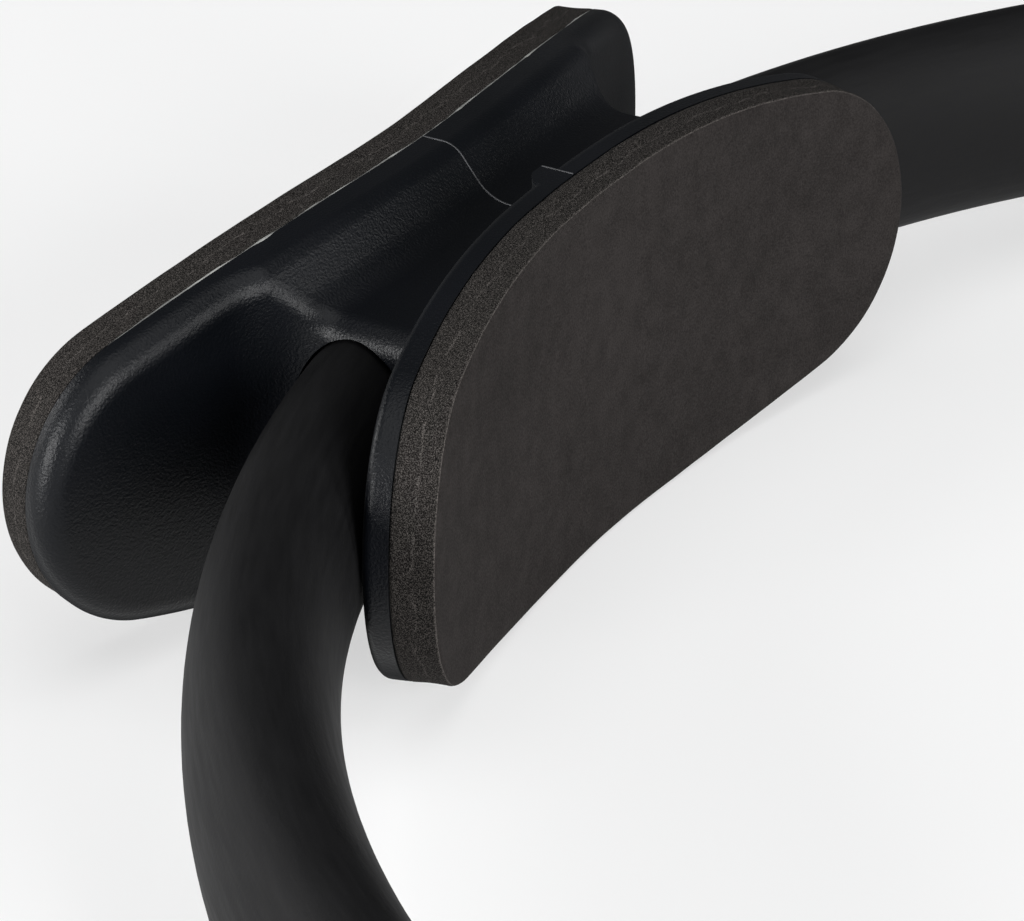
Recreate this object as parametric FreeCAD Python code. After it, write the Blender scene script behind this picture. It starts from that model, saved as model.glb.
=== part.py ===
import FreeCAD, Part
import math
import os

# Pilates ring: a flexible ring of fibreglass strips in foam sleeves, with two padded handles.
# Millimetres. The ring lies flat: Z is its axis, the handles are at +Y (a) and -Y (b), and the
# origin is the ring's centre. Each handle is made of a left and a right moulding, seen from the
# ring's centre, that meet at a seam in the middle.

# Ring
ring_radius = 164.0
sleeve_thickness = 17.5
sleeve_width = 28.9
strip_thickness = 2.0
strip_width = 20.0
strip_end_gap = 2.0
strip_room = 0.3
sleeve_room = 0.15
sleeve_end_room = 0.3

# Pads. A taper is how much less than half the pad's width the radius of its rounded end is.
pad_width = 49.6
pad_straight = 20.0
foam_thickness = 5.35
tape_thickness = 0.3
tape_inset = 0.6

inner_pad_length = 122.2
inner_pad_radius = 168.0
inner_pad_standoff = 19.7
inner_pad_taper = 3.7
inner_flange_thickness = 3.25
inner_flange_round = 1.2

outer_pad_length = 137.5
outer_pad_radius = 187.8
outer_pad_standoff = 13.8
outer_pad_taper = 5.4
outer_flange_thickness = 4.3
outer_flange_round = 3.4

# Stem between the two flanges
stem_length = 71.4
stem_root_round = 10.0
waist_width = 36.4
waist_round = 6.0
groove_rise = 0.4
groove_slope = 5.2
seam_gap = 0.2

# Socket that takes a sleeve's end
socket_depth = 11.0
socket_room = 0.6
socket_shift = 0.3

# Splice plate and its screws
plate_length = 44.0
plate_width = 18.0
plate_thickness = 3.0
screw_radius = 2.0
screw_head_radius = 4.0
screw_head_height = 2.6
screw_head_depth = 0.4
screw_tip_length = 1.5
screw_room = 0.3
screw_places = (7.5, 16.0)
thread_room = 0.05

# Pockets under the inner pad
pocket_start = 3.0
pocket_end = 21.0
pocket_width = 11.0
pocket_rib = 7.8
pocket_floor = 1.4
pocket_round = 2.0

# Small lug beside the seam, on the back of the inner flange
lug_length = 4.4
lug_slant = 2.2
lug_height = 1.5
lug_width = 5.0
lug_round = 0.8

overrun = 30.0
smooth_angle = 15.0
half_turn = 180

V = FreeCAD.Vector
AXIS = V(0, 0, 1)
OUTWARD = V(0, 1, 0)
ORIGIN = V(0, 0, 0)
backing = foam_thickness + tape_thickness


class Pad:
    """A pad bent to a cylinder. Depths are measured from its face towards the ring."""

    def __init__(self, length, radius, taper, face_y, towards_ring):
        self.radius = radius
        self.end_radius = pad_width / 2 - taper
        self.face_y = face_y
        self.towards_ring = towards_ring
        self.axis_y = face_y - towards_ring * radius
        self.reach = radius * math.tan(length / 2 / radius)

    def plane_y(self, depth):
        return self.face_y + self.towards_ring * depth

    def side_arc_radius(self, inset=0):
        half_width = pad_width / 2 - inset
        end = self.end_radius - inset
        run = self.reach - inset - pad_straight / 2 - end
        return (run ** 2 + half_width ** 2 - end ** 2) / (2 * (half_width - end))

    def outline(self, depth, inset=0):
        """Outline in the plane at a depth: straight sides, side arcs and end arcs, all tangent."""
        half_width = pad_width / 2 - inset
        flat = pad_straight / 2
        end = self.end_radius - inset
        reach = self.reach - inset
        bow = self.side_arc_radius(inset)
        lean = math.atan2(bow - half_width, reach - end - flat)
        mid_angle = (math.pi / 2 + lean) / 2
        join = (flat + bow * math.cos(lean), half_width - bow + bow * math.sin(lean))
        mid = (flat + bow * math.cos(mid_angle), half_width - bow + bow * math.sin(mid_angle))
        spread = (self.radius + depth) / self.radius
        widen = FreeCAD.Matrix()
        widen.scale(spread, 1, 1)
        widen.move(V(0, self.plane_y(depth), 0))

        def arc(*pairs):
            return Part.Arc(*[V(x, 0, z) for x, z in pairs]).toShape().transformGeometry(widen)

        edges = []
        for side in (-1, 1):
            edges.append(arc((side * join[0], join[1]), (side * reach, 0), (side * join[0], -join[1])))
            start = V(-flat * spread, self.plane_y(depth), side * half_width)
            edges.append(Part.makeLine(start, start + V(2 * flat * spread, 0, 0)))
            for way in (-1, 1):
                corner = [(flat, half_width), mid, join]
                edges.append(arc(*[(way * x, side * z) for x, z in corner]))
        return Part.Wire(Part.__sortEdges__(edges))

    def wedge(self, start, end, inset=0):
        """Solid between two depths whose walls stand square to the curved face. The straight sides
        are true planes, which the ring can rest on."""
        near = self.outline(start, inset)
        far = self.outline(end, inset)
        faces = [Part.Face(near), Part.Face(far)]
        for one, other in zip(near.OrderedEdges, far.OrderedEdges):
            if one.Curve.TypeId == "Part::GeomLine":
                ends = one.Vertexes + other.Vertexes[::-1] + one.Vertexes[:1]
                faces.append(Part.Face(Part.makePolygon([end.Point for end in ends])))
            else:
                faces.append(Part.makeRuledSurface(one, other))
        shell = Part.makeShell(faces)
        shell.sewShape()
        return Part.makeSolid(shell)

    def cylinder(self, depth):
        base = V(0, self.axis_y, -pad_width)
        return Part.makeCylinder(self.radius + depth, 2 * pad_width, base, AXIS)

    def layer(self, start, end, inset=0):
        block = self.wedge(start - overrun, end + overrun, inset)
        return block.common(self.cylinder(end)).cut(self.cylinder(start))


inner_pad = Pad(inner_pad_length, inner_pad_radius, inner_pad_taper,
                ring_radius - inner_pad_standoff, 1)
outer_pad = Pad(outer_pad_length, outer_pad_radius, outer_pad_taper,
                ring_radius + outer_pad_standoff, -1)


def turned(shape, direction):
    """The same shape, half a turn about a line through the ring's centre."""
    other = shape.copy()
    other.rotate(ORIGIN, direction, half_turn)
    return other


def revolved(face, point, direction, start, sweep):
    """Solid that a face sweeps about a line, from a start angle, in degrees."""
    first = face.copy()
    first.rotate(point, direction, start)
    return first.revolve(point, direction, sweep)


def ring_piece(face, start, sweep):
    return revolved(face, ORIGIN, AXIS, start, sweep)


def ring_angle(x):
    """Angle at the ring's centre of a place on the ring at a distance from the handle's seam."""
    return math.degrees(math.asin(x / ring_radius))


def oval_face(room=0, shift=0):
    """The sleeve's oval section at the handle's middle plane, grown by a clearance and shifted
    towards the ring's centre."""
    centre = V(0, ring_radius - shift, 0)
    tall = centre + V(0, 0, sleeve_width / 2 + room)
    deep = centre + V(0, sleeve_thickness / 2 + room, 0)
    return Part.Face(Part.Wire(Part.Ellipse(tall, deep, centre).toShape()))


def band_face(inner, outer, width):
    """Rectangular section of a band that runs round the ring."""
    corners = [V(0, inner, -width / 2), V(0, outer, -width / 2),
               V(0, outer, width / 2), V(0, inner, width / 2)]
    return Part.Face(Part.makePolygon(corners + corners[:1]))


def groove_section():
    """What is cut away beside the stem, above the flange's rim, the slope and the waist."""
    rim_y = outer_pad.plane_y(backing)
    top = pad_width / 2 + overrun
    groove_foot = outer_flange_thickness + groove_rise + groove_slope
    slope_share = (pad_width - waist_width) / 2 / groove_slope
    lean = math.atan(slope_share)
    tangent = waist_round * math.tan(lean / 2)
    foot = V(0, rim_y - groove_foot, waist_width / 2)
    on_slope = foot + V(0, math.cos(lean), math.sin(lean)) * tangent
    on_waist = foot - V(0, tangent, 0)
    centre = on_waist + V(0, 0, waist_round)
    middle = centre + V(0, math.sin(lean / 2), -math.cos(lean / 2)) * waist_round
    high = foot + V(0, 1 / slope_share, 1) * (top - waist_width / 2)
    far = V(0, rim_y - groove_foot - overrun, waist_width / 2)
    edges = [Part.makeLine(high, on_slope), Part.Arc(on_slope, middle, on_waist).toShape(),
             Part.makeLine(on_waist, far), Part.makeLine(far, V(0, far.y, top)),
             Part.makeLine(V(0, far.y, top), high)]
    return Part.Face(Part.Wire(edges))


def groove():
    """Groove along one side of the stem. It follows the outer flange's rim, first along the
    straight stretch and then along the side arcs, which curve two ways at once."""
    section = groove_section()
    rim_radius = outer_pad.radius + backing
    pad_axis = V(0, outer_pad.axis_y, 0)
    half_angle = math.degrees(math.atan(pad_straight / 2 / outer_pad.radius))
    middle = revolved(section, pad_axis, AXIS, -half_angle, 2 * half_angle)
    bend = V(0, 1 / rim_radius, -1 / outer_pad.side_arc_radius())
    centre = V(0, outer_pad.plane_y(backing), pad_width / 2) + bend / bend.Length ** 2
    axis = V(0, -bend.z, bend.y).normalize()
    sweep = math.degrees(stem_length * bend.Length)
    arms = [section.revolve(centre, axis, side * sweep) for side in (-1, 1)]
    arms[0].rotate(pad_axis, AXIS, -half_angle)
    arms[1].rotate(pad_axis, AXIS, half_angle)
    return [middle] + arms


def end_bowl():
    """What is cut away behind the outer flange beyond the stem's end, with a rounded root."""
    wall = stem_length / 2
    back = outer_pad.radius + backing + outer_flange_thickness
    far = wall + outer_pad.reach
    root = V(wall + stem_root_round, 0, 0)
    root.y = outer_pad.axis_y - math.sqrt((back + stem_root_round) ** 2 - root.x ** 2)
    pad_axis = V(0, outer_pad.axis_y, 0)
    root_end = pad_axis + (root - pad_axis).normalize() * back
    root_start = V(wall, root.y, 0)
    toward_mid = ((root_end - root).normalize() + V(-1, 0, 0)).normalize()
    root_mid = root + toward_mid * stem_root_round
    low = inner_pad.face_y - overrun

    def on_back(x):
        return V(x, outer_pad.axis_y - math.sqrt(back ** 2 - x ** 2), 0)

    edges = [Part.makeLine(V(wall, low, 0), root_start),
             Part.Arc(root_start, root_mid, root_end).toShape(),
             Part.Arc(root_end, on_back((root_end.x + far) / 2), on_back(far)).toShape(),
             Part.makeLine(on_back(far), V(far, low, 0)),
             Part.makeLine(V(far, low, 0), V(wall, low, 0))]
    face = Part.Face(Part.Wire(edges))
    face.translate(V(0, 0, -pad_width))
    return face.extrude(V(0, 0, 2 * pad_width))


def handle_block():
    """The outer flange and the stem behind it, with sharp edges."""
    block = outer_pad.wedge(-overrun, outer_pad_standoff + inner_pad_standoff - foam_thickness)
    block = block.cut(outer_pad.cylinder(backing))
    for cutter in groove():
        block = block.cut(cutter).cut(turned(cutter, OUTWARD))
    bowl = end_bowl()
    return block.cut(bowl).cut(turned(bowl, OUTWARD)).removeSplitter()


def sharp_edges(shape, wanted):
    """Edges where two faces meet at an angle, and whose middle point is wanted."""
    found = []
    for edge in shape.Edges:
        middle = edge.valueAt((edge.FirstParameter + edge.LastParameter) / 2)
        faces = shape.ancestorsOfType(edge, Part.Face)
        if len(faces) != 2 or not wanted(middle):
            continue
        normals = [face.normalAt(*face.Surface.parameter(middle)) for face in faces]
        if math.degrees(normals[0].getAngle(normals[1])) > smooth_angle:
            found.append(edge)
    return found


def outer_depth(point):
    return math.hypot(point.x, point.y - outer_pad.axis_y) - outer_pad.radius


def inner_depth(point):
    return math.hypot(point.x, point.y - inner_pad.axis_y) - inner_pad.radius


def handle_body():
    """One handle's moulding as a whole: both flanges and the stem, with rounded edges."""
    block = handle_block()
    stem_foot = inner_pad.plane_y(foam_thickness)
    behind_face = sharp_edges(block, lambda point: outer_depth(point) > backing + seam_gap
                              and point.y > stem_foot + seam_gap)
    block = block.makeFillet(outer_flange_round, behind_face)
    flange = inner_pad.layer(backing, backing + inner_flange_thickness)
    back_edges = sharp_edges(flange, lambda point: inner_depth(point) > backing + seam_gap)
    flange = flange.makeFillet(inner_flange_round, back_edges)
    block = block.cut(inner_pad.cylinder(backing + inner_flange_thickness / 2))
    return block.fuse(flange).removeSplitter()


def seam_lug():
    """Small lug on the back of the inner flange, on the left half beside the seam, flush with the
    flange's upper side."""
    back = inner_pad.plane_y(backing + inner_flange_thickness)
    front = back - inner_flange_thickness / 2
    seam = -seam_gap / 2
    tip = V(seam - lug_length + lug_slant, back + lug_height, pad_width / 2 - lug_width)
    corners = [V(seam, front, tip.z), V(seam, tip.y, tip.z), tip,
               V(seam - lug_length, back, tip.z), V(seam - lug_length, front, tip.z)]
    lug = Part.Face(Part.makePolygon(corners + corners[:1])).extrude(V(0, 0, lug_width))
    upright = [edge for edge in lug.Edges
               if edge.Vertexes[0].X == tip.x and edge.Vertexes[1].X == tip.x]
    return lug.makeFillet(lug_round, upright)


strip_outside = ring_radius + strip_thickness
strip_inside = ring_radius - strip_thickness
plate_outside = strip_inside - strip_room
plate_inside = plate_outside - plate_thickness
plate_angle = ring_angle(plate_length / 2)
shoulder_angle = ring_angle(stem_length / 2 - socket_depth)
mouth_angle = ring_angle(stem_length / 2 + stem_root_round / 2)


def inner_pockets():
    """Pockets under the inner pad that keep the moulding's walls thin."""
    low = inner_pad.axis_y
    ceiling = plate_inside - strip_room - pocket_floor
    limit = Part.makeCylinder(ceiling, 2 * pad_width, V(0, 0, -pad_width), AXIS)
    pockets = []
    for side in (-1, 1):
        for level in (-1, 1):
            start_x = pocket_start if side > 0 else -pocket_end
            start_z = pocket_rib / 2 if level > 0 else -pocket_rib / 2 - pocket_width
            box = Part.makeBox(pocket_end - pocket_start, ring_radius - low, pocket_width,
                               V(start_x, low, start_z))
            upright = [edge for edge in box.Edges if abs(edge.tangentAt(edge.FirstParameter).y) == 1]
            pockets.append(box.makeFillet(pocket_round, upright).common(limit))
    return pockets


def screw_seat(x):
    """Height of a screw head's seat at a distance from the seam."""
    face_radius = outer_pad.radius + backing
    face = outer_pad.axis_y - math.sqrt(face_radius ** 2 - x ** 2)
    return face - screw_head_depth - screw_head_height


def screw_tip(x):
    return math.sqrt(plate_inside ** 2 - x ** 2) - screw_tip_length


def screw_positions():
    return [side * place for place in screw_places for side in (-1, 1)]


def drill(radius, x, start, length):
    return Part.makeCylinder(radius, length, V(x, start, 0), OUTWARD)


def handle_halves():
    """Left and right mouldings with their sockets, slots, pockets and screw holes."""
    body = handle_body()
    cuts = inner_pockets()
    socket = oval_face(socket_room, socket_shift)
    cuts.append(ring_piece(socket, shoulder_angle, mouth_angle - shoulder_angle))
    cuts.append(ring_piece(socket, -mouth_angle, mouth_angle - shoulder_angle))
    slot = band_face(strip_inside - strip_room, strip_outside + strip_room, strip_width + 2 * strip_room)
    cuts.append(ring_piece(slot, -mouth_angle, 2 * mouth_angle))
    recess = band_face(plate_inside - strip_room, ring_radius, plate_width + 2 * strip_room)
    recess_angle = ring_angle(plate_length / 2 + strip_room)
    cuts.append(ring_piece(recess, -recess_angle, 2 * recess_angle))
    for x in screw_positions():
        cuts.append(drill(screw_radius + screw_room, x, screw_tip(x) - screw_room, overrun))
        cuts.append(drill(screw_head_radius + screw_room, x, screw_seat(x), overrun))
    for cutter in cuts:
        body = body.cut(cutter)
    half_room = Part.makeBox(2 * ring_radius, 2 * ring_radius, 2 * pad_width,
                             V(-seam_gap / 2, 0, -pad_width))
    left = body.cut(half_room)
    right = body.cut(turned(half_room, OUTWARD))
    return left.fuse(seam_lug()).removeSplitter(), right


def splice_plate():
    plate = ring_piece(band_face(plate_inside, plate_outside, plate_width), -plate_angle, 2 * plate_angle)
    for x in screw_positions():
        plate = plate.cut(drill(screw_radius + thread_room, x, inner_pad.face_y, overrun))
    return plate


def handle_screws():
    """Pan-head screws through the outer flange and the strips into the splice plate."""
    screws = []
    for x in screw_positions():
        seat = screw_seat(x)
        shank = drill(screw_radius, x, screw_tip(x), seat - screw_tip(x))
        head = drill(screw_head_radius, x, seat, screw_head_height)
        top_rim = [edge for edge in head.Edges if edge.CenterOfMass.y > seat + screw_head_height / 2]
        head = head.makeFillet(screw_head_height / 2, top_rim[:1])
        screws.append(shank.fuse(head).removeSplitter())
    return Part.makeCompound(screws)


def ring_strip(inner, outer):
    """One flat strip, half way round the ring on the left, with its screw holes at both ends."""
    start = ring_angle(strip_end_gap / 2)
    strip = ring_piece(band_face(inner, outer, strip_width), start, half_turn - 2 * start)
    for x in screw_positions():
        for end in (1, -1):
            hole = drill(screw_radius + screw_room, x, end * ring_radius - overrun / 2, overrun)
            strip = strip.cut(hole)
    return strip


def foam_sleeve():
    """Foam tube over the strips on the left, from socket to socket."""
    start = shoulder_angle + ring_angle(sleeve_end_room)
    hole = band_face(strip_inside - sleeve_room, strip_outside + sleeve_room,
                     strip_width + 2 * sleeve_room)
    return ring_piece(oval_face().cut(hole), start, half_turn - 2 * start)


left_half, right_half = handle_halves()
handle = {
    "left_half": left_half,
    "right_half": right_half,
    "inner_pad": inner_pad.layer(0, foam_thickness),
    "inner_tape": inner_pad.layer(foam_thickness, backing, tape_inset),
    "outer_pad": outer_pad.layer(0, foam_thickness),
    "outer_tape": outer_pad.layer(foam_thickness, backing, tape_inset),
    "splice_plate": splice_plate(),
    "screws": handle_screws(),
}
ring = {
    "outer_strip": ring_strip(ring_radius, strip_outside),
    "inner_strip": ring_strip(strip_inside, ring_radius),
    "foam_sleeve": foam_sleeve(),
}

nodes = {}
for name, shape in handle.items():
    nodes["handle_a_" + name] = shape
    nodes["handle_b_" + name] = turned(shape, AXIS)
for name, shape in ring.items():
    nodes["left_" + name] = shape
    nodes["right_" + name] = turned(shape, AXIS)

os.makedirs("parts", exist_ok=True)
for name, shape in nodes.items():
    shape.exportStep("parts/" + name + ".step")
    print(name, len(shape.Solids), "solids", round(shape.Volume), "mm3", shape.isValid())
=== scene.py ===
import math
import bmesh
import bpy
from mathutils import Matrix, Vector, noise


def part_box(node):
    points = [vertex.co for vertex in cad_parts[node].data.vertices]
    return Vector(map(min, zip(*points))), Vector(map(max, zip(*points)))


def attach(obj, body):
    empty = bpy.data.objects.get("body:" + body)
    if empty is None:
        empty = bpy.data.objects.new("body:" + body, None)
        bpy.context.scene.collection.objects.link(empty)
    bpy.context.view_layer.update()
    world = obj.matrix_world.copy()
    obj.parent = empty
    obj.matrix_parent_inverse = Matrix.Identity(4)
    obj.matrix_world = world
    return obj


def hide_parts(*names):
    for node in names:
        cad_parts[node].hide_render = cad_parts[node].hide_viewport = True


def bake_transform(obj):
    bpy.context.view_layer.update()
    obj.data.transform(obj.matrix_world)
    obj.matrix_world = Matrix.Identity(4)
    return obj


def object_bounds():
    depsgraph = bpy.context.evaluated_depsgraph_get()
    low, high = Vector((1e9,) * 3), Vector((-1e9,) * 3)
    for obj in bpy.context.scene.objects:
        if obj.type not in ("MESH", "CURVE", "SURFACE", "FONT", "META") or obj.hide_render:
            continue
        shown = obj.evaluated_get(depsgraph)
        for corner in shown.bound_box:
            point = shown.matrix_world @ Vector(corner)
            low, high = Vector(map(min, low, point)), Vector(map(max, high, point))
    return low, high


# Pilates ring: soft pieces, materials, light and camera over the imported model.
# Metres, in the model's own frame: Z is the ring's axis and handle a is at +Y.
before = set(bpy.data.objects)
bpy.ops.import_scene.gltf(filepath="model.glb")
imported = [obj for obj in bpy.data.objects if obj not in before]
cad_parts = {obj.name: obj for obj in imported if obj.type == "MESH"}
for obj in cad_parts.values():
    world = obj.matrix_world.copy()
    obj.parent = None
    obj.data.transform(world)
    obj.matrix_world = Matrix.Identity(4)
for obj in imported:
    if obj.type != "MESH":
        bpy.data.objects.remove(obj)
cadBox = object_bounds()
scene = bpy.context.scene
mm = 0.001
bodies = {"handle_a": "ring_and_handle_a", "handle_b": "handle_b"}
halfTurn = Matrix.Rotation(math.pi, 4, "Z")
foamThickness = 5.35 * mm  # the pads' sheet, and the depth of its cut edge
tapeThickness = 0.3 * mm
mergeGap = 0.001 * mm
print("frame loaded")


def linear(code):
    shares = [int(code[i:i + 2], 16) / 255 for i in (1, 3, 5)]
    return [s / 12.92 if s <= 0.04045 else ((s + 0.055) / 1.055) ** 2.4 for s in shares] + [1]


def wire(tree, node, inputs):
    # A plain value is set, a socket is linked, and a node is linked by its first output.
    for key, value in inputs.items():
        if isinstance(value, bpy.types.Node):
            value = value.outputs[0]
        if isinstance(value, bpy.types.NodeSocket):
            tree.links.new(value, node.inputs[key])
        else:
            node.inputs[key].default_value = value


def add(tree, kind, inputs=None, stops=(), **settings):
    node = tree.nodes.new(kind)
    for name, value in settings.items():
        setattr(node, name, value)
    wire(tree, node, inputs or {})
    for i, (position, code) in enumerate(stops):
        node.color_ramp.elements[i].position = position
        node.color_ramp.elements[i].color = linear(code)
    return node


def place(name, data):
    piece = bpy.data.objects.new(name, data)
    scene.collection.objects.link(piece)
    return piece


# Materials

# Nearly all of a noise texture lies between these values.
noiseLow = 0.3
noiseHigh = 0.7
noiseSpan = {"From Min": noiseLow, "From Max": noiseHigh}


def newMaterial(name):
    material = bpy.data.materials.new(name)
    material.use_nodes = True
    return material, material.node_tree, material.node_tree.nodes["Principled BSDF"]


def ringCoordinates(tree, stretch):
    # Radius, angle round the ring and height, with the angle drawn out so that streaks follow the tube.
    point = add(tree, "ShaderNodeTexCoord").outputs["Object"]
    axes = add(tree, "ShaderNodeSeparateXYZ", {"Vector": point}).outputs
    flat = add(tree, "ShaderNodeCombineXYZ", {"X": axes["X"], "Y": axes["Y"]})
    radius = add(tree, "ShaderNodeVectorMath", {0: flat}, operation="LENGTH").outputs["Value"]
    angle = add(tree, "ShaderNodeMath", {0: axes["Y"], 1: axes["X"]}, operation="ARCTAN2")
    where = add(tree, "ShaderNodeCombineXYZ", {"X": radius, "Y": angle, "Z": axes["Z"]})
    return add(tree, "ShaderNodeVectorMath", {0: where, 1: (1, stretch, 1)}, operation="MULTIPLY")


def mouldedPlastic():
    # Black ABS from a spark-eroded mould: fine grain that breaks up the highlights.
    # The real grain is near 0.1 mm and wouldn't show, so it is drawn coarser.
    material, tree, shader = newMaterial("black_abs_spark_eroded")
    point = add(tree, "ShaderNodeTexCoord").outputs["Object"]
    cloud = add(tree, "ShaderNodeTexNoise", {"Vector": point, "Scale": 1 / (22 * mm)})
    fine = add(tree, "ShaderNodeTexNoise", {"Vector": point, "Scale": 1 / (0.36 * mm), "Detail": 3.0})
    tone = add(tree, "ShaderNodeValToRGB", {"Fac": cloud}, ((noiseLow, "#040609"), (noiseHigh, "#07090e")))
    sheen = add(tree, "ShaderNodeMapRange", {"Value": cloud, **noiseSpan, "To Min": 0.34, "To Max": 0.42})
    # At a glancing angle the grain takes the shine off, so the far edges don't mirror the floor.
    facing = add(tree, "ShaderNodeLayerWeight", {"Blend": 0.5}).outputs["Facing"]
    glance = add(tree, "ShaderNodeMapRange", {
        "Value": facing, "From Min": 0.5, "From Max": 0.8, "To Min": 0.0, "To Max": 0.6})
    rough = add(tree, "ShaderNodeMath", {0: sheen, 1: glance})
    relief = add(tree, "ShaderNodeBump", {"Height": fine, "Distance": 0.1 * mm, "Strength": 0.9})
    wire(tree, shader, {"Base Color": tone, "Roughness": rough, "Normal": relief,
                        "IOR": 1.52, "Specular IOR Level": 0.21})
    return material


def foamSkin():
    # Closed-cell EVA sheet, sanded face: dead matt warm charcoal with a dust of lighter cells.
    material, tree, shader = newMaterial("eva_foam_sanded_face")
    point = add(tree, "ShaderNodeTexCoord").outputs["Object"]
    cloud = add(tree, "ShaderNodeTexNoise", {"Vector": point, "Scale": 1 / (30 * mm)})
    blotch = add(tree, "ShaderNodeTexNoise", {"Vector": point, "Scale": 1 / (3.5 * mm), "Detail": 3.0})
    cells = add(tree, "ShaderNodeTexNoise", {"Vector": point, "Scale": 1 / (0.24 * mm)})
    broad = add(tree, "ShaderNodeMapRange", {"Value": cloud, **noiseSpan, "To Min": -0.06, "To Max": 0.06})
    patchy = add(tree, "ShaderNodeMapRange", {"Value": blotch, **noiseSpan, "To Min": -0.08, "To Max": 0.08})
    uneven = add(tree, "ShaderNodeMath", {0: broad, 1: patchy})
    dust = add(tree, "ShaderNodeMath", {0: cells, 1: uneven})
    tone = add(tree, "ShaderNodeValToRGB", {"Fac": dust}, ((noiseLow, "#201e1d"), (noiseHigh, "#312e2d")))
    relief = add(tree, "ShaderNodeBump", {"Height": cells, "Distance": 0.06 * mm, "Strength": 0.5})
    wire(tree, shader, {"Base Color": tone, "Normal": relief, "Roughness": 0.95, "Specular IOR Level": 0.06})
    return material


# Where the two plies meet (shares of the edge's depth), how much the ply line lifts the tone, and the painted
# highlight that lightens the rounded rim under the face.
cutFoam = {"cell": 0.14 * mm, "plyFrom": 0.4, "plyTo": 0.64, "plyWidth": 0.045, "plyWave": 7 * mm,
           "plyBreak": 2.6 * mm, "plyLift": 0.15, "rimHighlightLift": 0.16, "rimHighlightFrom": 0.22 * mm, "rimHighlightTo": 0.4 * mm}


def foamEdge():
    # The same sheet where the die cut it: open cells, a wavy lighter line where two plies meet, and a painted
    # highlight along the rounded rim under the face.
    material, tree, shader = newMaterial("eva_foam_die_cut_edge")
    point = add(tree, "ShaderNodeTexCoord").outputs["Object"]
    along = add(tree, "ShaderNodeUVMap", uv_map="edgeRun")
    depth = add(tree, "ShaderNodeSeparateXYZ", {"Vector": along}).outputs["Y"]
    cells = add(tree, "ShaderNodeTexNoise", {"Vector": point, "Scale": 1 / cutFoam["cell"]})
    wave = add(tree, "ShaderNodeTexNoise", {"Vector": along, "Scale": 1 / cutFoam["plyWave"]})
    sway = add(tree, "ShaderNodeMapRange", {
        "Value": wave, **noiseSpan, "To Min": cutFoam["plyFrom"], "To Max": cutFoam["plyTo"]})
    share = add(tree, "ShaderNodeMath", {0: depth, 1: 1 / foamThickness}, operation="MULTIPLY")
    offset = add(tree, "ShaderNodeMath", {0: share, 1: sway}, operation="SUBTRACT")
    near = add(tree, "ShaderNodeMath", {0: offset}, operation="ABSOLUTE")
    thread = add(tree, "ShaderNodeMapRange", {
        "Value": near, "From Min": 0.0, "From Max": cutFoam["plyWidth"], "To Min": 1.0, "To Max": 0.0})
    gaps = add(tree, "ShaderNodeTexNoise", {"Vector": along, "Scale": 1 / cutFoam["plyBreak"]})
    broken = add(tree, "ShaderNodeMapRange", {
        "Value": gaps, "From Min": 0.4, "From Max": 0.62, "To Min": 0.0, "To Max": cutFoam["plyLift"]})
    ply = add(tree, "ShaderNodeMath", {0: thread, 1: broken}, operation="MULTIPLY")
    # Painted highlight: lighter at the top of the cut side, where the face rolls over, fading out lower down.
    rimHighlight = add(tree, "ShaderNodeMapRange", {
        "Value": depth, "From Min": cutFoam["rimHighlightFrom"], "From Max": cutFoam["rimHighlightTo"],
        "To Min": cutFoam["rimHighlightLift"], "To Max": 0.0})
    # The real ply line and the painted rim highlight, whichever is lighter.
    plyAndRimHighlight = add(tree, "ShaderNodeMath", {0: ply, 1: rimHighlight}, operation="MAXIMUM")
    both = add(tree, "ShaderNodeMath", {0: cells, 1: plyAndRimHighlight})
    tone = add(tree, "ShaderNodeValToRGB", {"Fac": both}, ((0.45, "#121110"), (0.82, "#5c5855")))
    relief = add(tree, "ShaderNodeBump", {"Height": cells, "Distance": 0.08 * mm, "Strength": 0.8})
    wire(tree, shader, {"Base Color": tone, "Normal": relief, "Roughness": 0.95, "Specular IOR Level": 0.06})
    return material


def sleeveFoam():
    # Extruded NBR foam tube: soft black skin with faint drag streaks along its length.
    material, tree, shader = newMaterial("nbr_foam_extruded_skin")
    drawn = ringCoordinates(tree, 0.02)
    point = add(tree, "ShaderNodeTexCoord").outputs["Object"]
    streaks = add(tree, "ShaderNodeTexNoise", {"Vector": drawn, "Scale": 1 / (1.1 * mm), "Detail": 3.0})
    pores = add(tree, "ShaderNodeTexNoise", {"Vector": point, "Scale": 1 / (0.6 * mm)})
    tone = add(tree, "ShaderNodeValToRGB", {"Fac": streaks}, ((noiseLow, "#0b0b0c"), (noiseHigh, "#101011")))
    rough = add(tree, "ShaderNodeMapRange", {"Value": streaks, **noiseSpan, "To Min": 0.6, "To Max": 0.7})
    pitted = add(tree, "ShaderNodeBump", {"Height": pores, "Distance": 0.05 * mm, "Strength": 0.5})
    relief = add(tree, "ShaderNodeBump", {
        "Height": streaks, "Distance": 0.08 * mm, "Strength": 0.5, "Normal": pitted})
    wire(tree, shader, {"Base Color": tone, "Roughness": rough, "Normal": relief, "Specular IOR Level": 0.16})
    return material


def mottled(name, patch, dark, light, roughness):
    # One even finish whose tone drifts from patch to patch.
    material, tree, shader = newMaterial(name)
    point = add(tree, "ShaderNodeTexCoord").outputs["Object"]
    drift = add(tree, "ShaderNodeTexNoise", {"Vector": point, "Scale": 1 / patch})
    tone = add(tree, "ShaderNodeValToRGB", {"Fac": drift}, ((noiseLow, dark), (noiseHigh, light)))
    wire(tree, shader, {"Base Color": tone, "Roughness": roughness})
    return material


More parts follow.
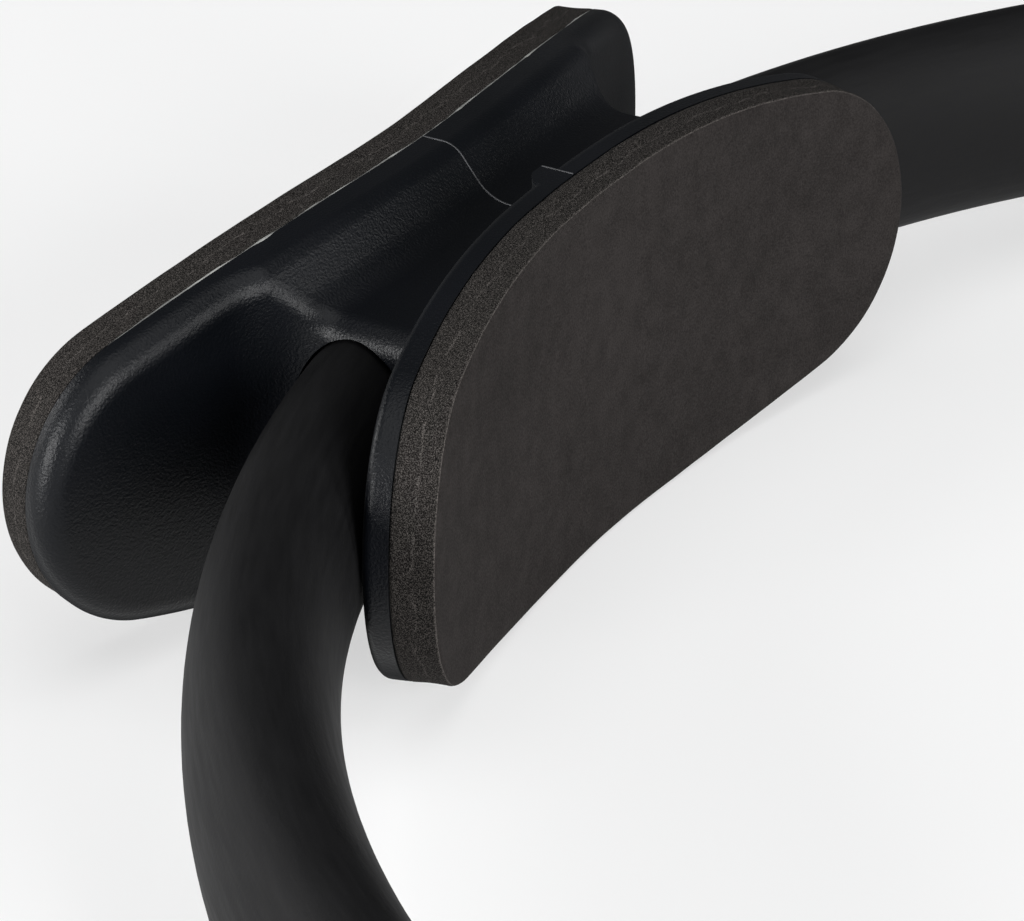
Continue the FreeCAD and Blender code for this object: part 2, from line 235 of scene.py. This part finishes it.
def fibreglass():
    # Pultruded glass strip: grey-green resin with fibres along its length, drawn coarser than they are.
    material, tree, shader = newMaterial("pultruded_fibreglass")
    drawn = ringCoordinates(tree, 0.01)
    fibres = add(tree, "ShaderNodeTexNoise", {"Vector": drawn, "Scale": 1 / (0.5 * mm), "Detail": 3.0})
    tone = add(tree, "ShaderNodeValToRGB", {"Fac": fibres}, ((noiseLow, "#7d8574"), (noiseHigh, "#a9ae9b")))
    relief = add(tree, "ShaderNodeBump", {"Height": fibres, "Distance": 0.05 * mm, "Strength": 0.5})
    wire(tree, shader, {"Base Color": tone, "Normal": relief, "Roughness": 0.35})
    return material


def zincSteel():
    # Zinc-plated steel: cool grey metal with a cloudy finish.
    material, tree, shader = newMaterial("zinc_plated_steel")
    point = add(tree, "ShaderNodeTexCoord").outputs["Object"]
    cloud = add(tree, "ShaderNodeTexNoise", {"Vector": point, "Scale": 1 / (2.5 * mm), "Detail": 3.0})
    tone = add(tree, "ShaderNodeValToRGB", {"Fac": cloud}, ((noiseLow, "#8e9194"), (noiseHigh, "#b4b7b9")))
    rough = add(tree, "ShaderNodeMapRange", {"Value": cloud, **noiseSpan, "To Min": 0.28, "To Max": 0.45})
    wire(tree, shader, {"Base Color": tone, "Roughness": rough, "Metallic": 1.0})
    return material


plastic = mouldedPlastic()
skin = foamSkin()
cutEdge = foamEdge()
sleeveSkin = sleeveFoam()
# Black acrylic transfer tape: a dark, slightly wet line under the pads.
tape = mottled("black_acrylic_tape", 3 * mm, "#0c0c0d", "#171718", 0.45)
# Contact adhesive pressed out at the outer pad: a thin uneven grey thread that catches the light.
glue = mottled("contact_adhesive_bead", 4 * mm, "#353636", "#9a9b98", 0.4)
# The mould's parting ridge where the two halves meet: a hair of plastic, its paler tone a painted highlight
# along the seam.
seamRidgeAndPaintedHighlight = mottled("abs_parting_ridge_painted_highlight", 3 * mm, "#1c1d1f", "#3c3d40", 0.5)
glass = fibreglass()
steel = zincSteel()
print("materials made")


# Carried-over nodes

nodeMaterials = {"left_half": plastic, "right_half": plastic, "inner_tape": tape, "outer_tape": tape,
                 "splice_plate": steel, "screws": steel}
for handle in bodies:
    for part, material in nodeMaterials.items():
        node = bpy.data.objects[handle + "_" + part]
        for slot in node.material_slots:
            slot.material = material
print("carried-over nodes finished")


# Geometry node trees

def newTree(name, inputs):
    tree = bpy.data.node_groups.new(name, "GeometryNodeTree")
    for label, kind in inputs.items():
        tree.interface.new_socket(name=label, in_out="INPUT", socket_type="NodeSocket" + kind)
    tree.interface.new_socket(name="Geometry", in_out="OUTPUT", socket_type="NodeSocketGeometry")
    return tree, add(tree, "NodeGroupInput").outputs


def closeTree(tree, geometry, material):
    smooth = add(tree, "GeometryNodeSetShadeSmooth", {"Geometry": geometry})
    real = add(tree, "GeometryNodeRealizeInstances", {"Geometry": smooth})
    done = add(tree, "GeometryNodeSetMaterial", {"Geometry": real, "Material": material})
    add(tree, "NodeGroupOutput", {"Geometry": done})
    return tree


def bake(name, tree, values, source=None):
    maker = place(name + "Maker", source or bpy.data.meshes.new(name + "Maker"))
    modifier = maker.modifiers.new("Maker", "NODES")
    modifier.node_group = tree
    for item in tree.interface.items_tree:
        if item.in_out == "INPUT" and item.name in values:
            modifier[item.identifier] = values[item.name]
    maker.update_tag()
    mesh = bpy.data.meshes.new_from_object(maker.evaluated_get(bpy.context.evaluated_depsgraph_get()))
    bpy.data.objects.remove(maker)
    mesh.name = name
    return mesh


def sleeveTree():
    # An oval tube and the slot for the strips, both swept round one arc of the ring.
    tree, given = newTree("sweptSleeve", {
        "Ring Radius": "Float", "Start Angle": "Float", "Sweep Angle": "Float", "Steps": "Int",
        "Half Thickness": "Float", "Half Width": "Float", "Sides": "Int",
        "Slot Thickness": "Float", "Slot Width": "Float", "Material": "Material"})
    arc = add(tree, "GeometryNodeCurveArc", {
        "Resolution": given["Steps"], "Radius": given["Ring Radius"],
        "Start Angle": given["Start Angle"], "Sweep Angle": given["Sweep Angle"]}, mode="RADIUS")
    path = add(tree, "GeometryNodeSetCurveNormal", {"Curve": arc}, mode="Z_UP")
    circle = add(tree, "GeometryNodeCurvePrimitiveCircle", {"Resolution": given["Sides"], "Radius": 1.0})
    half = add(tree, "ShaderNodeCombineXYZ", {
        "X": given["Half Thickness"], "Y": given["Half Width"], "Z": 1.0})
    oval = add(tree, "GeometryNodeTransform", {"Geometry": circle, "Scale": half})
    outside = add(tree, "GeometryNodeCurveToMesh", {"Curve": path, "Profile Curve": oval})
    bore = add(tree, "GeometryNodeCurvePrimitiveQuadrilateral", {
        "Width": given["Slot Thickness"], "Height": given["Slot Width"]})
    inside = add(tree, "GeometryNodeCurveToMesh", {"Curve": path, "Profile Curve": bore})
    joined = add(tree, "GeometryNodeJoinGeometry", {"Geometry": inside})
    wire(tree, joined, {"Geometry": outside})
    return closeTree(tree, joined, given["Material"])


def beadTree():
    # A round thread along a line, thicker and thinner by lumps.
    tree, given = newTree("unevenBead", {
        "Geometry": "Geometry", "Radius": "Float", "Unevenness": "Float", "Lump Size": "Float",
        "Spacing": "Float", "Sides": "Int", "Seed": "Float", "Material": "Material"})
    line = add(tree, "GeometryNodeMeshToCurve", {"Mesh": given["Geometry"]})
    path = add(tree, "GeometryNodeResampleCurve", {"Curve": line, "Length": given["Spacing"]}, mode="LENGTH")
    point = add(tree, "GeometryNodeInputPosition")
    pitch = add(tree, "ShaderNodeMath", {0: 1.0, 1: given["Lump Size"]}, operation="DIVIDE")
    lumps = add(tree, "ShaderNodeTexNoise", {"Vector": point, "W": given["Seed"], "Scale": pitch},
                noise_dimensions="4D")
    centred = add(tree, "ShaderNodeMath", {0: lumps, 1: 0.5}, operation="SUBTRACT")
    share = add(tree, "ShaderNodeMath", {0: centred, 1: given["Unevenness"], 2: 1.0}, operation="MULTIPLY_ADD")
    scale = add(tree, "ShaderNodeMath", {0: share, 1: given["Radius"]}, operation="MULTIPLY")
    circle = add(tree, "GeometryNodeCurvePrimitiveCircle", {"Resolution": given["Sides"], "Radius": 1.0})
    bead = add(tree, "GeometryNodeCurveToMesh", {
        "Curve": path, "Profile Curve": circle, "Scale": scale, "Fill Caps": True})
    return closeTree(tree, bead, given["Material"])


sweptSleeve = sleeveTree()
unevenBead = beadTree()
print("node trees made")


# Foam sleeves and the strips inside them

sleeve = {"ringRadius": 164 * mm, "halfThickness": 8.75 * mm, "halfWidth": 14.45 * mm,
          "slotThickness": 4.3 * mm, "slotWidth": 20.3 * mm, "endReach": 25 * mm, "steps": 128, "sides": 56,
          "bendReach": 140 * mm}


def bendWithRing(piece):
    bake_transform(piece)


def closeEnds(mesh):
    # Each end gets a flat face from the tube's rim to the slot's.
    work = bmesh.new()
    work.from_mesh(mesh)
    openEdges = [edge for edge in work.edges if edge.is_boundary]
    for atTop in (True, False):
        rims = [edge for edge in openEdges if (edge.verts[0].co.y > 0) == atTop]
        bmesh.ops.triangle_fill(work, edges=rims, use_beauty=True)
    bmesh.ops.recalc_face_normals(work, faces=work.faces)
    work.to_mesh(mesh)
    work.free()


def foamSleeve(name, turn):
    start = math.asin(sleeve["endReach"] / sleeve["ringRadius"])
    mesh = bake(name, sweptSleeve, {
        "Ring Radius": sleeve["ringRadius"], "Start Angle": math.pi / 2 + start,
        "Sweep Angle": math.pi - 2 * start, "Steps": sleeve["steps"], "Sides": sleeve["sides"],
        "Half Thickness": sleeve["halfThickness"], "Half Width": sleeve["halfWidth"],
        "Slot Thickness": sleeve["slotThickness"], "Slot Width": sleeve["slotWidth"], "Material": sleeveSkin})
    closeEnds(mesh)
    mesh.transform(turn)
    return place(name, mesh)


def mergedCopy(name, node, material):
    mesh = bpy.data.objects[node].data.copy()
    mesh.name = name
    work = bmesh.new()
    work.from_mesh(mesh)
    bmesh.ops.remove_doubles(work, verts=work.verts, dist=mergeGap)
    work.to_mesh(mesh)
    work.free()
    mesh.materials.clear()
    mesh.materials.append(material)
    return place(name, mesh)


for side, turn in (("left", Matrix.Identity(4)), ("right", halfTurn)):
    tube = foamSleeve(side + "_sleeve_skin", turn)
    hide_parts(side + "_foam_sleeve")
    bendWithRing(tube)
    for layer in ("outer", "inner"):
        strip = mergedCopy(f"{side}_{layer}_glass_strip", f"{side}_{layer}_strip", glass)
        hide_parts(f"{side}_{layer}_strip")
        bendWithRing(strip)
print("sleeves and strips made")


# Foam pads

padSheet = {"width": 49.6 * mm, "straight": 20 * mm, "straightSteps": 8, "bowSteps": 24, "endSteps": 22}
pads = {
    "inner": {"length": 122.2 * mm, "radius": 168 * mm, "taper": 3.7 * mm, "face": 144.3 * mm, "way": 1},
    "outer": {"length": 137.5 * mm, "radius": 187.8 * mm, "taper": 5.4 * mm, "face": 177.8 * mm, "way": -1},
}
# How far the die wandered: the outline sways by this much, and the sway fades out inwards.
dieWander = {"sway": 0.08 * mm, "length": 6 * mm, "fade": 3 * mm, "halfLength": 60 * mm, "halfWidth": 25 * mm}
glueBead = {"radius": 0.25 * mm, "unevenness": 2.0, "lumpSize": 5 * mm, "spacing": 0.6 * mm, "sides": 8,
            "seed": 3.0, "inset": 0.25 * mm, "wave": 0.25 * mm, "waveLength": 9 * mm, "halfRun": 57 * mm}


def arcPoints(centre, radius, first, last, count):
    angles = [first + (last - first) * i / count for i in range(count)]
    return [(centre[0] + radius * math.cos(a), centre[1] + radius * math.sin(a)) for a in angles]


def padOutline(pad, inset):
    # One quarter as points on tangent arcs, then mirrored into a closed outline.
    half = padSheet["width"] / 2 - inset
    flat = padSheet["straight"] / 2
    end = padSheet["width"] / 2 - pad["taper"] - inset
    reach = pad["radius"] * math.tan(pad["length"] / 2 / pad["radius"]) - inset
    run = reach - flat - end
    bow = (run ** 2 + half ** 2 - end ** 2) / (2 * (half - end))
    lean = math.atan2(bow - half, run)
    steps = padSheet["straightSteps"]
    quarter = [(flat * i / steps, half) for i in range(steps)]
    quarter += arcPoints((flat, half - bow), bow, math.pi / 2, lean, padSheet["bowSteps"])
    quarter += arcPoints((reach - end, 0), end, lean, 0, padSheet["endSteps"])
    tip = [(reach, 0)]
    right = quarter + tip + [(x, -z) for x, z in reversed(quarter[1:])]
    return right + [(-x, -z) for x, z in right]


def bent(pad, x, z, depth):
    # A point of the flat sheet, bent over the flange.
    angle = math.atan2(x, pad["radius"])
    reach = pad["radius"] + depth
    axis = pad["face"] - pad["way"] * pad["radius"]
    return Vector((reach * math.sin(angle), axis + pad["way"] * reach * math.cos(angle), z))


def padProfile():
    # Inset and depth from the middle of the face, over the soft edge, down the cut side, to the back.
    face = [(inset * mm, 0.0) for inset in (16, 12, 8, 5, 3, 1.8)]
    rolled = [(0.9 * mm, 0.02 * mm), (0.5 * mm, 0.07 * mm), (0.2 * mm, 0.2 * mm), (0.05 * mm, 0.4 * mm)]
    sideSteps = 8
    sideTop = 0.65 * mm
    sideDepth = foamThickness - 1.0 * mm
    drawIn = 0.1 * mm
    sides = [(drawIn * math.sin(math.pi * i / sideSteps), sideTop + sideDepth * i / sideSteps)
             for i in range(sideSteps + 1)]
    back = [(0.04 * mm, foamThickness + 0.06 * mm), (0.12 * mm, foamThickness + 0.12 * mm)]
    back += [(0.4 * mm, foamThickness + 0.1 * mm), (0.6 * mm, foamThickness)]
    back += [(inset * mm, foamThickness) for inset in (3, 8, 16)]
    cutStart = len(face) + 2
    cutEnd = len(face) + len(rolled) + len(sides) + 1
    return face + rolled + sides + back, cutStart, cutEnd


def padRow(pad, inset, depth):
    row = []
    fade = max(0.0, 1 - inset / dieWander["fade"])
    for x, z in padOutline(pad, inset):
        sway = noise.noise(Vector((x, z, pad["radius"])) / dieWander["length"]) * dieWander["sway"] * fade
        swayX = 1 + sway / dieWander["halfLength"]
        swayZ = 1 + sway / dieWander["halfWidth"]
        row.append(bent(pad, x * swayX, z * swayZ, depth))
    return row


def foamPad(name, pad, turn):
    profile, cutStart, cutEnd = padProfile()
    rows = [padRow(pad, inset, depth) for inset, depth in profile]
    count = len(rows[0])
    work = bmesh.new()
    verts = [[work.verts.new(turn @ point) for point in row] for row in rows]
    uvLayer = work.loops.layers.uv.new("edgeRun")
    rim = rows[cutStart]
    runs = [0.0]
    for i in range(count):
        runs.append(runs[-1] + (rim[(i + 1) % count] - rim[i]).length)
    for j in range(len(rows) - 1):
        for i in range(count):
            k = (i + 1) % count
            face = work.faces.new((verts[j][i], verts[j][k], verts[j + 1][k], verts[j + 1][i]))
            face.smooth = True
            face.material_index = 1 if cutStart <= j < cutEnd else 0
            ends = ((runs[i], j), (runs[i + 1], j), (runs[i + 1], j + 1), (runs[i], j + 1))
            for loop, (run, level) in zip(face.loops, ends):
                loop[uvLayer].uv = (run, profile[level][1])
    # Strips straight across the pad close its face and back, so both keep the bend.
    half = count // 2
    for row in (verts[0], verts[-1]):
        for first in (0, half):
            for i in range(half // 2):
                ends = (first + i, first + i + 1, first + half - i - 1, (first + half - i) % count)
                face = work.faces.new([row[end] for end in dict.fromkeys(ends)])
                face.smooth = True
    bmesh.ops.recalc_face_normals(work, faces=work.faces)
    mesh = bpy.data.meshes.new(name)
    work.to_mesh(mesh)
    work.free()
    mesh.materials.append(skin)
    mesh.materials.append(cutEdge)
    return place(name, mesh)


def pathMesh(name, points, kept):
    # The closed run of points, less the edges that have no kept end.
    mesh = bpy.data.meshes.new(name)
    count = len(points)
    edges = [(i, (i + 1) % count) for i in range(count)]
    mesh.from_pydata(points, [edge for edge in edges if kept[edge[0]] or kept[edge[1]]], [])
    return mesh


def beadAlong(name, path, bead, material):
    return place(name, bake(name, unevenBead, {
        "Radius": bead["radius"], "Unevenness": bead["unevenness"], "Lump Size": bead["lumpSize"],
        "Spacing": bead["spacing"], "Sides": bead["sides"], "Seed": bead["seed"], "Material": material}, path))


def glueRoute(pad, turn):
    # A wavy line round the foot of the pad, along its long sides only.
    outline = padOutline(pad, glueBead["inset"])
    depth = foamThickness + tapeThickness / 2
    points = []
    for x, z in outline:
        wave = noise.noise(Vector((x, z, 0.0)) / glueBead["waveLength"]) * glueBead["wave"]
        points.append(turn @ bent(pad, x, z, depth + wave))
    longSides = [abs(x) < glueBead["halfRun"] for x, z in outline]
    return pathMesh("glueRoute", points, longSides)


for handle, body in bodies.items():
    turn = Matrix.Identity(4) if handle == "handle_a" else halfTurn
    for kind, pad in pads.items():
        cushion = foamPad(f"{handle}_{kind}_foam_pad", pad, turn)
        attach(cushion, body)
        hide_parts(f"{handle}_{kind}_pad")
    bead = beadAlong(handle + "_glue_line", glueRoute(pads["outer"], turn), glueBead, glue)
    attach(bead, body)
print("pads made")


# Parting line between each handle's halves

partingRidge = {"radius": 0.12 * mm, "unevenness": 0.8, "lumpSize": 3 * mm, "spacing": 0.4 * mm, "sides": 8,
                "seed": 8.0, "clearOfTape": 0.1 * mm}


def seamOutline(handle):
    # The left half's outline in the seam's plane, read from its mesh as one closed loop of points.
    node = bpy.data.objects[handle + "_left_half"]
    low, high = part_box(node.name)
    seam = high[0] if abs(high[0]) < abs(low[0]) else low[0]
    work = bmesh.new()
    work.from_mesh(node.data)
    bmesh.ops.remove_doubles(work, verts=work.verts, dist=mergeGap)
    work.normal_update()
    follow = {}
    for edge in work.edges:
        flat = [abs(face.normal.x) > 0.999 for face in edge.link_faces]
        onSeam = all(abs(vert.co.x - seam) < 2 * mergeGap for vert in edge.verts)
        if onSeam and sorted(flat) == [False, True]:
            one, other = edge.verts
            follow.setdefault(one, []).append(other)
            follow.setdefault(other, []).append(one)
    loops = []
    while follow:
        first = next(iter(follow))
        loop = [first]
        while True:
            ahead = [vert for vert in follow.pop(loop[-1], []) if vert in follow]
            if not ahead:
                break
            loop.append(ahead[0])
        loops.append([vert.co.copy() for vert in loop])
    work.free()
    return max(loops, key=lambda loop: max(p.z for p in loop) - min(p.z for p in loop))


def openPath(name, points):
    # Only the stretches between the two pads' seats, cut off just short of the foam.
    seat = foamThickness + tapeThickness + partingRidge["clearOfTape"]
    lowest = pads["inner"]["face"] + seat
    highest = pads["outer"]["face"] - seat
    inside = [lowest < abs(point.y) < highest for point in points]
    cut = [(0, math.copysign(min(max(abs(p.y), lowest), highest), p.y), p.z) for p in points]
    return pathMesh(name, cut, inside)


for handle, body in bodies.items():
    route = openPath("partingRoute", seamOutline(handle))
    # The ridge itself is real; its paler tone is a painted highlight.
    ridge = beadAlong(handle + "_parting_line", route, partingRidge, seamRidgeAndPaintedHighlight)
    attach(ridge, body)
print("parting lines made")


# Floor, light and camera

floor = {"reach": 12.0, "gap": 0.2 * mm, "paper": "#f4f4f4", "veil": 0.48}
studio = {"color": "#d8dade", "strength": 0.12}
# The photograph's view: a long lens, 30 degrees above the floor.
view = {"place": (-412.4, -93.97, 256.47), "right": (0.51796, -0.855324, -0.011778),
        "up": (0.428286, 0.24739, 0.86912), "forward": (0.740465, 0.455214, -0.494461), "lens": 150.13}
# Azimuth from the camera's side of the ring, positive to the image's right, elevation, size and watts.
lamps = {
    "left": (-48, 14, (0.28, 0.5), 13),
    "right": (30, 18, (0.45, 0.65), 12),
    "farRight": (75, 22, (0.4, 0.6), 4.5),
    "backLeft": (-108, 18, (0.4, 0.6), 5),
    "overhead": (0, 75, (1.2, 1.2), 7),
}
lampTarget = Vector((0, 0.15, 0))
lampDistance = 1.2
cameraTurn = math.atan2(-view["right"][0], view["right"][1])


def floorMaterial():
    # White paper that keeps the shadow, with a veil of plain white for the camera and for reflections.
    material = bpy.data.materials.new("white_paper_sweep")
    material.use_nodes = True
    tree = material.node_tree
    tree.nodes.clear()
    paper = add(tree, "ShaderNodeBsdfDiffuse", {"Color": linear(floor["paper"])})
    seen = add(tree, "ShaderNodeLightPath").outputs
    direct = add(tree, "ShaderNodeMath", {0: seen["Is Camera Ray"], 1: seen["Is Glossy Ray"]},
                 operation="MAXIMUM")
    rays = add(tree, "ShaderNodeMath", {0: direct, 1: seen["Is Transmission Ray"]}, operation="MAXIMUM")
    veil = add(tree, "ShaderNodeMath", {0: rays, 1: floor["veil"]}, operation="MULTIPLY")
    white = add(tree, "ShaderNodeEmission", {"Strength": 1.0})
    mix = add(tree, "ShaderNodeMixShader", {0: veil, 1: paper, 2: white})
    add(tree, "ShaderNodeOutputMaterial", {"Surface": mix})
    return material


def softbox(name, azimuth, elevation, size, power):
    turn = math.radians(azimuth) + cameraTurn
    rise = math.radians(elevation)
    aim = Vector((math.cos(rise) * math.cos(turn), math.cos(rise) * math.sin(turn), math.sin(rise)))
    lamp = bpy.data.lights.new(name, "AREA")
    lamp.energy = power
    lamp.shape = "RECTANGLE"
    lamp.size, lamp.size_y = size
    box = place(name, lamp)
    box.location = lampTarget + aim * lampDistance
    box.rotation_euler = aim.to_track_quat("Z", "Y").to_euler()


reach = floor["reach"]
ground = cadBox[0][2] - floor["gap"]
corners = ((-reach, -reach), (reach, -reach), (reach, reach), (-reach, reach))
floorMesh = bpy.data.meshes.new("floor")
floorMesh.from_pydata([(x, y, ground) for x, y in corners], [], [(0, 1, 2, 3)])
floorMesh.materials.append(floorMaterial())
place("floor", floorMesh)

world = bpy.data.worlds.new("studio")
scene.world = world
world.use_nodes = True
wire(world.node_tree, world.node_tree.nodes["Background"], {
    "Color": linear(studio["color"]), "Strength": studio["strength"]})
for name, settings in lamps.items():
    softbox(name, *settings)

lens = bpy.data.cameras.new("camera")
lens.lens = view["lens"]
lens.clip_start = 10 * mm
camera = place("camera", lens)
axes = Matrix((view["right"], view["up"], [-c for c in view["forward"]])).transposed()
camera.matrix_world = Matrix.Translation(Vector(view["place"]) * mm) @ axes.to_4x4()
scene.camera = camera
scene.view_settings.view_transform = "Standard"
print("stage set")
